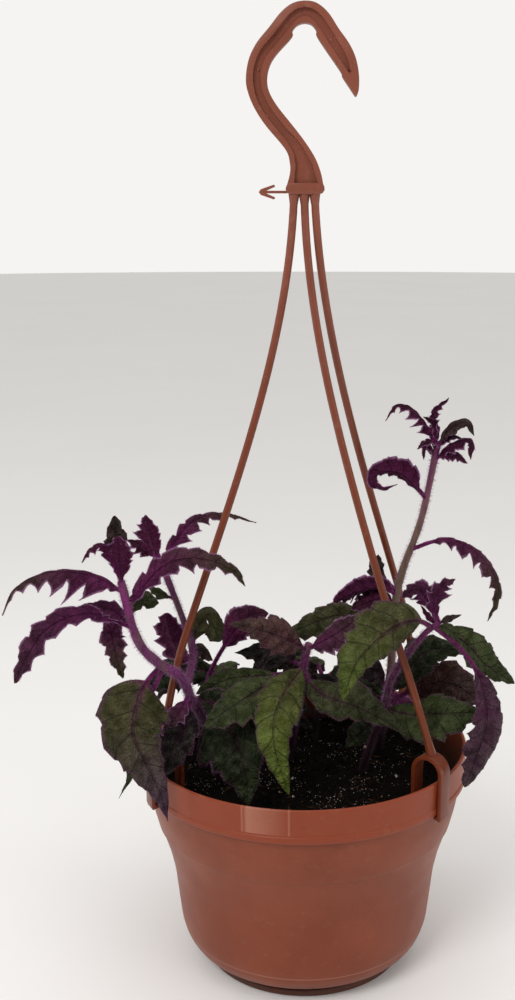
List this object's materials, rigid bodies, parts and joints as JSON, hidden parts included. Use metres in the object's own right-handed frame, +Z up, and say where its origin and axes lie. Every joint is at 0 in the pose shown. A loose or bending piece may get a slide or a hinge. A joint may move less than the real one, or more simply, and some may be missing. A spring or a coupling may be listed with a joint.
{
  "type": "potted hanging purple passion plant",
  "caption": "Velvety purple and green leafy stems growing from soil in a terracotta-coloured plastic pot, with a moulded plastic hanger that ends in a hook.",
  "frame": {"origin": "centre of the pot's flat underside", "axes": "+Z up through the hook, -Y towards the side that a visitor sees first, +X to the visitor's right"},
  "size_m": [0.2307, 0.1763, 0.4565],
  "materials": {
    "pot_plastic": "satin moulded terracotta plastic",
    "hanger_plastic": "satin moulded terracotta plastic",
    "soil": "dark potting mix with white perlite",
    "leaf_purple": "young leaf under purple hairs",
    "leaf_green": "older leaf, dark green under fine hairs"
  },
  "bodies": {
    "root": {"pot": "pot_plastic", "hanger": "hanger_plastic", "soil": "soil", "shoot_left": "leaf_purple", "shoot_centre": "leaf_green", "shoot_tall": "leaf_purple", "shoot_right": "leaf_green", "shoot_back_left": "leaf_green", "shoot_back_right": "leaf_green"}
  },
  "joints": []
}
